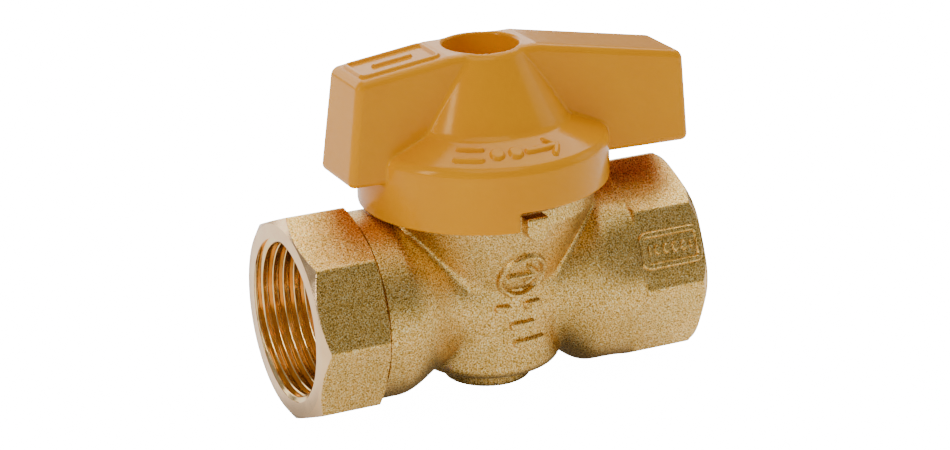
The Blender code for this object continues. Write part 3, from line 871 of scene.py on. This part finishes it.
def handle_field(x, y, z):
    """Cap, hub and wings, less the pocket, the skirt's hollow and cut, the recess and the screw's hole."""
    reach = np.hypot(x, y)
    top = (z - cap_top(reach)) / math.hypot(1, CAP_SLOPE)
    cap = round_max(0.25, round_max(1.0, reach - CAP_R, top), SKIRT_Z - z)
    lean = (HUB_BASE[0] - HUB_TOP[0]) / (HUB_TOP[1] - HUB_BASE[1])
    cone = (reach - HUB_BASE[0] + lean * (z - HUB_BASE[1])) / math.hypot(1, lean)
    hub = np.maximum(round_max(1.1, cone, z - LIP_Z), HUB_FLOOR_Z - z)
    solid = smooth_min(cap, hub, 0.5)
    solid = smooth_min(solid, wing_field(x, y, z), 0.45)
    solid = round_max(0.3, solid, -wing_pocket(x, y, z))

    hollow = round_max(0.9, reach - SKIRT_IN_R, z - CEILING_Z)
    start, end = (math.radians(a) for a in CUT_DEGREES)
    before = -(math.sin(start) * y + math.cos(start) * x)
    after = math.sin(end) * y + math.cos(end) * x
    cut = round_max(0.35, np.maximum(before, after), z - CUT_Z, SKIRT_IN_R - 2.0 - reach)
    climb = (z - RECESS_FLOOR_Z) / (LIP_Z - RECESS_FLOOR_Z)
    mouth = RECESS_R[0] + (RECESS_R[1] - RECESS_R[0]) * climb
    recess = np.maximum(reach - mouth, RECESS_FLOOR_Z - z)
    hole = np.maximum(reach - SCREW_HOLE_R, z - RECESS_FLOOR_Z - 1)
    socket_r, socket_half, socket_z = STEM_SOCKET
    socket = np.maximum(np.maximum(reach - socket_r, np.abs(x) - socket_half), z - socket_z)
    solid = np.maximum(solid, -np.minimum(hole, socket))
    solid = round_max(0.22, solid, -np.minimum(hollow, cut))
    return round_max(0.6, solid, -recess)


def make_handle(look):
    step = 0.33
    low = np.array(HANDLE_LOW) - 0.8
    high = np.array(HANDLE_HIGH) + 0.8
    points, quads, normals = skin(handle_field, low, high, step)
    add_mesh("wedge_handle", points, quads, "handle_and_stem", look, ["handle"], normals)


# ---- raised marks --------------------------------------------------------------------------------


def stroke(u, v, start, end, width):
    """Distance to a straight stroke with round ends."""
    a, b = np.array(start, float), np.array(end, float)
    along = b - a
    share = np.clip(((u - a[0]) * along[0] + (v - a[1]) * along[1]) / (along @ along), 0, 1)
    return np.hypot(u - a[0] - share * along[0], v - a[1] - share * along[1]) - width / 2


def hoop(u, v, centre, radius, width):
    return np.abs(np.hypot(u - centre[0], v - centre[1]) - radius) - width / 2


def dot(u, v, centre, radius):
    return np.hypot(u - centre[0], v - centre[1]) - radius


def plate_rim(u, v, centre, half, corner, width):
    """Distance to the outline of a rounded rectangle."""
    du, dv = np.abs(u - centre[0]) - half[0] + corner, np.abs(v - centre[1]) - half[1] + corner
    edge = np.hypot(np.maximum(du, 0), np.maximum(dv, 0)) + np.minimum(np.maximum(du, dv), 0) - corner
    return np.abs(edge) - width / 2


SUNK = 0.12


def relief(name, pattern, u_range, v_range, surface, height, body, look, step, soft):
    """A raised pattern on a surface: a fine sheet that dives under the surface round the pattern."""
    u, v = np.meshgrid(np.arange(*u_range, step), np.arange(*v_range, step), indexing="ij")
    rise = smooth_step((soft / 2 - pattern(u, v)) / soft)
    points, normals = surface(u.ravel(), v.ravel())
    lifted = points + normals * (rise.ravel() * (height + SUNK) - SUNK)[:, None]
    i, j = np.meshgrid(np.arange(u.shape[0] - 1), np.arange(u.shape[1] - 1), indexing="ij")
    first = (i * u.shape[1] + j).ravel()
    quads = np.stack([first, first + u.shape[1], first + u.shape[1] + 1, first + 1], 1)
    quads = quads[(rise.ravel()[quads] > 0.02).any(1)]
    corner = lifted[quads[:, 0]]
    facing = np.cross(lifted[quads[:, 1]] - corner, lifted[quads[:, 3]] - corner)
    if (facing * normals[quads[:, 0]]).sum() < 0:
        quads = quads[:, ::-1]
    used, inverse = np.unique(quads, return_inverse=True)
    return add_mesh(name, lifted[used], inverse.reshape(quads.shape), body, look, sharp=None)


def on_front(u, v):
    """The body's surface seen from the front: u along X, v along Z."""
    start = np.stack([u, np.full(u.size, -30.0), v], 1)
    points = trace(body_field, start, np.array([0.0, 1.0, 0.0]))
    return points, gradient(body_field, points)


def on_outlet_flat(u, v):
    """The outlet octagon's flat that faces up and to the front."""
    tilt = math.radians(22.5)
    normal = np.array([0.0, -math.cos(tilt), math.sin(tilt)])
    across = np.array([0.0, math.sin(tilt), math.cos(tilt)])
    points = normal * FLAT_R + np.outer(v, across)
    points[:, 0] = u
    return points, np.tile(normal, (u.size, 1))


def on_cap_top(u, v):
    """The cap's sloping top: u is the angle from the front in degrees, v the radius."""
    angle = np.radians(u)
    points = np.stack([v * np.sin(angle), -v * np.cos(angle), cap_top(v)], 1)
    return points, gradient(handle_field, points)


def on_wing_top(u, v):
    points = np.stack([u, v, wing_top(u)], 1)
    return points, gradient(wing_field, points)


def badge(u, v):
    """A ring with a flow arrow over rows of plain bars."""
    arrow = np.minimum.reduce([
        stroke(u, v, (-2.1, 5.9), (2.7, 5.9), 0.8),
        stroke(u, v, (2.7, 5.9), (1.1, 7.4), 0.8),
        stroke(u, v, (2.7, 5.9), (1.1, 4.4), 0.8),
    ])
    bars = np.minimum.reduce([
        stroke(u, v, (-3.3, -0.1), (-2.1, -0.1), 1.3),
        stroke(u, v, (1.7, -0.1), (3.5, -0.1), 1.3),
        stroke(u, v, (-0.9, -3.4), (2.3, -3.4), 1.3),
        stroke(u, v, (-0.3, -6.6), (4.3, -6.6), 1.3),
    ])
    return np.minimum.reduce([hoop(u, v, (0.3, 5.7), 3.8, 0.9), arrow, bars])


def outlet_panel(u, v):
    """A rounded frame round a row of upright dots, the end ones cut in half."""
    middle = (OUTLET_STEP_X + OUTLET_X) / 2 - 0.4
    dots = np.abs((u - middle + 8.25) % 1.65 - 0.825)
    dots = np.hypot(np.where(np.abs(u - middle) < 4.0, dots, 9.0), v * 0.65) - 0.6
    return np.minimum(plate_rim(u, v, (middle, 0), (5.2, 2.6), 1.0, 1.1), dots)


def turn_arrow(u, v):
    """A curved arrow behind two bars and two dots; u runs in degrees."""
    along = u * math.radians(1) * MARK_R
    return np.minimum.reduce([
        stroke(along, v, (-11.6, 16.0), (-7.6, 16.0), 0.8),
        stroke(along, v, (-11.6, 18.2), (-7.6, 18.2), 0.8),
        dot(along, v, (-5.2, MARK_R), 1.15),
        dot(along, v, (-2.2, MARK_R), 1.15),
        stroke(along, v, (-0.1, MARK_R), (4.6, MARK_R), 1.1),
        stroke(along, v, (5.4, MARK_R), (3.9, 18.6), 0.9),
        stroke(along, v, (5.4, MARK_R), (3.9, 15.6), 0.9),
    ])


def wing_frame(u, v):
    """A plain frame with a bar in it."""
    frame_line = plate_rim(u, v, (-15.6, 0.0), (6.6, 3.7), 0.8, 0.8)
    return np.minimum(frame_line, stroke(u, v, (-18.6, 0.0), (-12.6, 0.0), 1.0))


def make_marks(brass, amber):
    """Each mark: pattern, its range along u and v, surface, height, body, material, spacing, softness."""
    outlet_u = (OUTLET_STEP_X - 0.2, OUTLET_X - 0.3)
    body, handle = "valve_body", "handle_and_stem"
    marks = {
        "body_flow_badge": (badge, (-4.6, 5.4), (-7.8, 10.9), on_front, 0.75, body, brass, 0.11, 0.45),
        "outlet_panel": (outlet_panel, outlet_u, (-3.6, 3.6), on_outlet_flat, 0.6, body, brass, 0.1, 0.5),
        "turn_arrow": (turn_arrow, (-42.0, 21.0), (14.9, 19.4), on_cap_top, 0.5, handle, amber, 0.13, 0.6),
        "wing_frame": (wing_frame, (-22.8, -8.4), (-4.4, 4.4), on_wing_top, 0.45, handle, amber, 0.11, 0.5),
    }
    for name, mark in marks.items():
        relief(name, *mark)


# ---- small pieces --------------------------------------------------------------------------------


def make_ball(look):
    radius = BALL_HIGH[1]
    port, half_slot, slot_floor = 5.9, 1.8, 6.8

    def field(x, y, z):
        solid = np.sqrt(x * x + y * y + z * z) - radius
        solid = round_max(0.35, solid, port - np.hypot(y, z))
        slot = np.maximum(np.abs(x) - half_slot, slot_floor - z)
        return round_max(0.2, solid, -slot)

    points, quads, normals = skin(field, [-radius - 0.5] * 3, [radius + 0.5] * 3, 0.36)
    add_mesh("plated_ball", points, quads, "closure", look, ["ball"], normals)


def make_seats(look):
    ball_r = BALL_HIGH[1] + GAP
    back, outer, lip, bore = SEAT_HIGH[0], SEAT_HIGH[1], 8.0, 6.1
    face = [(r, math.sqrt(ball_r**2 - r * r)) for r in np.linspace(lip, bore, 7)]
    outline = [(bore, back), (outer, back), (outer, face[0][1]), *face]
    for side, name in ((1, "outlet_seat"), (-1, "inlet_seat")):
        points, faces = lathe(outline, 96, axis=0)
        points[:, 0] *= side
        add_mesh("ring_" + name, points, faces if side > 0 else faces[:, ::-1], "valve_body", look, [name])


def make_washer(look):
    """A split lock washer whose ends stand a little apart in height."""
    low, high, outer = WASHER_LOW[2] + 0.1, WASHER_HIGH[2] - 0.1, WASHER_HIGH[0]
    inner, columns, gap = 2.3, 90, math.radians(7)
    angle = np.linspace(gap, 2 * math.pi - gap, columns)
    lift = np.linspace(-0.05, 0.05, columns)
    section = rounded([(inner, high), (outer, high), (outer, low), (inner, low)], 0.12, 2)
    rows = np.array([
        np.stack([r * np.cos(angle), r * np.sin(angle), h + lift], 1) for r, h in section
    ])
    count = len(section)
    i, j = np.meshgrid(np.arange(count), np.arange(columns - 1), indexing="ij")
    here, there = i * columns + j, (i + 1) % count * columns + j
    quads = np.stack([there, there + 1, here + 1, here], -1).reshape(-1, 4)
    first = [k * columns for k in range(count)][::-1]
    last = [k * columns + columns - 1 for k in range(count)]
    washer = link_mesh("split_washer", rows.reshape(-1, 3), quads.tolist() + [first, last], look)
    washer.data.shade_smooth()
    washer.data.set_sharp_from_angle(angle=math.radians(40))
    finish_piece(washer, "handle_and_stem", ["lock_washer"])


def make_screw(look):
    """A domed screw with a tapered cross recess."""
    head_r, top = SCREW_HIGH[0], SCREW_HIGH[2]
    head_low = WASHER_HIGH[2] + GAP
    dome_r, shank_r = 6.5, 2.0

    def field(x, y, z):
        reach = np.hypot(x, y)
        dome = np.sqrt(reach**2 + (z - top + dome_r) ** 2) - dome_r
        head = round_max(0.25, np.maximum(reach - head_r, dome), head_low - z)
        shank = np.maximum(reach - shank_r, np.maximum(z - head_low - 1, SCREW_LOW[2] - z))
        deep = top - 1.5
        half = 0.55 + 0.12 * (z - deep)
        length = 2.0 + 0.25 * (z - top)
        arm_x = np.maximum(np.abs(y) - half, np.abs(x) - length)
        arm_y = np.maximum(np.abs(x) - half, np.abs(y) - length)
        cross = np.maximum(np.minimum(arm_x, arm_y), deep - z)
        return round_max(0.08, np.minimum(head, shank), -cross)

    low = (-4.5, -4.5, SCREW_LOW[2] - 0.4)
    points, quads, normals = skin(field, low, (4.5, 4.5, top + 0.4), 0.15)
    add_mesh("recess_screw", points, quads, "handle_and_stem", look, ["handle_screw"], normals)


def dress(node, look):
    """Gives a kept CAD node its material."""
    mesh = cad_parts[node].data
    mesh.materials.clear()
    mesh.materials.append(look)


# ---- studio --------------------------------------------------------------------------------------


def outward(azimuth, elevation):
    """The direction towards a place round the valve, 0 azimuth being the front."""
    a, e = math.radians(azimuth), math.radians(elevation)
    return Vector((math.sin(a) * math.cos(e), -math.cos(a) * math.cos(e), math.sin(e)))


def area_light(name, azimuth, elevation, distance, size, energy):
    """A soft box aimed at the valve."""
    data = bpy.data.lights.new(name, "AREA")
    data.shape = "RECTANGLE"
    data.size, data.size_y = size
    data.energy = energy
    light = bpy.data.objects.new(name, data)
    bpy.context.scene.collection.objects.link(light)
    out = outward(azimuth, elevation)
    light.location = Vector((0, 0, 0.01)) + out * distance
    light.rotation_mode = "QUATERNION"
    light.rotation_quaternion = out.to_track_quat("Z", "Y")


FLOOR_GLOW = 0.36
FLOOR_SEEN = 16.0
FLOOR_COLOUR = 0.94
# Painted shade: the floor's colour and glow are made darker in a strip under the valve
PAINTED_SHADE_COLOUR = 0.2
PAINTED_SHADE_EDGE = (0.007, 0.018)
PAINTED_SHADE_SQUASH = (0.3, 1.0, 0.0)
WORLD_BRIGHT = 0.3
WORLD_DARK = 0.27
WORLD_DARK_SIDE = (0.38, -0.92, 0.1)


def set_range(node, source, result):
    """Makes a map range node run smoothly from one range to the other."""
    node.interpolation_type = "SMOOTHSTEP"
    node.inputs["From Min"].default_value, node.inputs["From Max"].default_value = source
    node.inputs["To Min"].default_value, node.inputs["To Max"].default_value = result


def out_of_painted_shade(tree, near, far):
    """A value that rises from a painted shade in the strip under the valve to the open floor."""
    place = tree.nodes.new("ShaderNodeTexCoord").outputs["Object"]
    narrow = tree.nodes.new("ShaderNodeVectorMath")
    narrow.operation = "MULTIPLY"
    narrow.inputs[1].default_value = PAINTED_SHADE_SQUASH
    tree.links.new(place, narrow.inputs[0])
    length = tree.nodes.new("ShaderNodeVectorMath")
    length.operation = "LENGTH"
    tree.links.new(narrow.outputs["Vector"], length.inputs[0])
    rise = tree.nodes.new("ShaderNodeMapRange")
    set_range(rise, PAINTED_SHADE_EDGE, (near, far))
    tree.links.new(length.outputs["Value"], rise.inputs["Value"])
    return rise.outputs["Result"]


def floor_material():
    """A pale floor that softly lights the valve from below, with a painted shade that darkens its colour and
    glow in a strip under the valve; the camera sees it as brightly lit white.
    """
    made = bpy.data.materials.new("pale_floor")
    made.use_nodes = True
    tree = made.node_tree
    seen = tree.nodes.new("ShaderNodeLightPath").outputs["Is Camera Ray"]
    glow = tree.nodes.new("ShaderNodeMath")
    glow.operation = "MULTIPLY_ADD"
    glow.inputs[1].default_value = FLOOR_SEEN
    tree.links.new(seen, glow.inputs[0])
    # painted shade: the floor's glow is dimmed in the strip under the valve
    tree.links.new(out_of_painted_shade(tree, FLOOR_GLOW * 0.15, FLOOR_GLOW), glow.inputs[2])
    shader = tree.nodes["Principled BSDF"]
    shader.inputs["Roughness"].default_value = 0.9
    shader.inputs["Emission Color"].default_value = (1, 1, 1, 1)
    tree.links.new(glow.outputs[0], shader.inputs["Emission Strength"])
    # painted shade: the floor's colour is darkened in the strip under the valve
    tree.links.new(out_of_painted_shade(tree, PAINTED_SHADE_COLOUR, FLOOR_COLOUR), shader.inputs["Base Color"])
    return made


def make_world():
    """White all round, darker on the side that faces the front right."""
    world = bpy.data.worlds.new("studio")
    bpy.context.scene.world = world
    world.use_nodes = True
    tree = world.node_tree
    place = tree.nodes.new("ShaderNodeTexCoord").outputs["Generated"]
    facing = tree.nodes.new("ShaderNodeVectorMath")
    facing.operation = "DOT_PRODUCT"
    facing.inputs[1].default_value = WORLD_DARK_SIDE
    tree.links.new(place, facing.inputs[0])
    ramp = tree.nodes.new("ShaderNodeMapRange")
    set_range(ramp, (0.1, 0.8), (WORLD_BRIGHT, WORLD_DARK))
    tree.links.new(facing.outputs["Value"], ramp.inputs["Value"])
    tree.links.new(ramp.outputs["Result"], tree.nodes["Background"].inputs["Strength"])
    tree.nodes["Background"].inputs["Color"].default_value = (1, 1, 1, 1)


# Each softbox: azimuth from the front, elevation, distance, size, radiance
SOFTBOXES = {
    "top_back": (140, 58, 0.9, (0.75, 0.75), 3.0),
    "top_front": (-10, 70, 0.9, (0.6, 0.5), 1.7),
    "left_window": (-78, 26, 0.8, (0.11, 0.40), 12.0),
    "back": (185, 20, 1.0, (1.4, 0.45), 2.2),
    "right_fill": (80, 18, 0.9, (0.4, 0.4), 0.9),
}


def make_studio():
    half, low = 6.0, CAD_BOX[0].z - 0.0003
    corners = [(-half, -half, low), (half, -half, low), (half, half, low), (-half, half, low)]
    mesh = bpy.data.meshes.new("floor")
    mesh.from_pydata(corners, [], [(0, 1, 2, 3)])
    mesh.materials.append(floor_material())
    floor = bpy.data.objects.new("floor", mesh)
    bpy.context.scene.collection.objects.link(floor)
    make_world()
    for name, (azimuth, elevation, distance, size, radiance) in SOFTBOXES.items():
        area_light(name, azimuth, elevation, distance, size, radiance * math.pi * size[0] * size[1])


CAMERA = {"azimuth": -24.98, "elevation": 20.03, "distance": 0.450, "roll": -1.33, "lens": 103.56}
AIM = Vector((-0.00167, 0.0, 0.01031))


def make_camera():
    data = bpy.data.cameras.new("camera")
    data.sensor_width = 36
    data.lens = CAMERA["lens"]
    camera = bpy.data.objects.new("camera", data)
    bpy.context.scene.collection.objects.link(camera)
    out = outward(CAMERA["azimuth"], CAMERA["elevation"])
    place = Matrix.Translation(AIM + out * CAMERA["distance"])
    turn = out.to_track_quat("Z", "Y").to_matrix().to_4x4()
    roll = Matrix.Rotation(math.radians(CAMERA["roll"]), 4, "Z")
    camera.matrix_world = place @ turn @ roll
    bpy.context.scene.camera = camera


def main():
    brass = forged_brass()
    bright = turned_brass("machined_brass", 0.2, 0.16)
    cut = thread_brass()
    amber = enamel()
    white = white_ptfe()
    chrome = polished("chrome_plate", (0.72, 0.72, 0.73), 0.08, 0.06)
    steel = polished("zinc_steel", (0.62, 0.61, 0.58), 0.24, 0.12)
    rubber = black_rubber()

    make_end_connector(brass, bright, cut)
    make_body(brass, bright, cut)
    make_flare(brass)
    make_handle(amber)
    make_marks(brass, amber)
    make_ball(chrome)
    make_seats(white)
    make_washer(steel)
    make_screw(steel)
    for node in ("body_seal", "thrust_washer", "packing_lower", "packing_upper"):
        dress(node, white)
    dress("stem_o_ring", rubber)
    dress("stem", bright)
    dress("gland_nut", bright)
    make_studio()
    make_camera()


main()
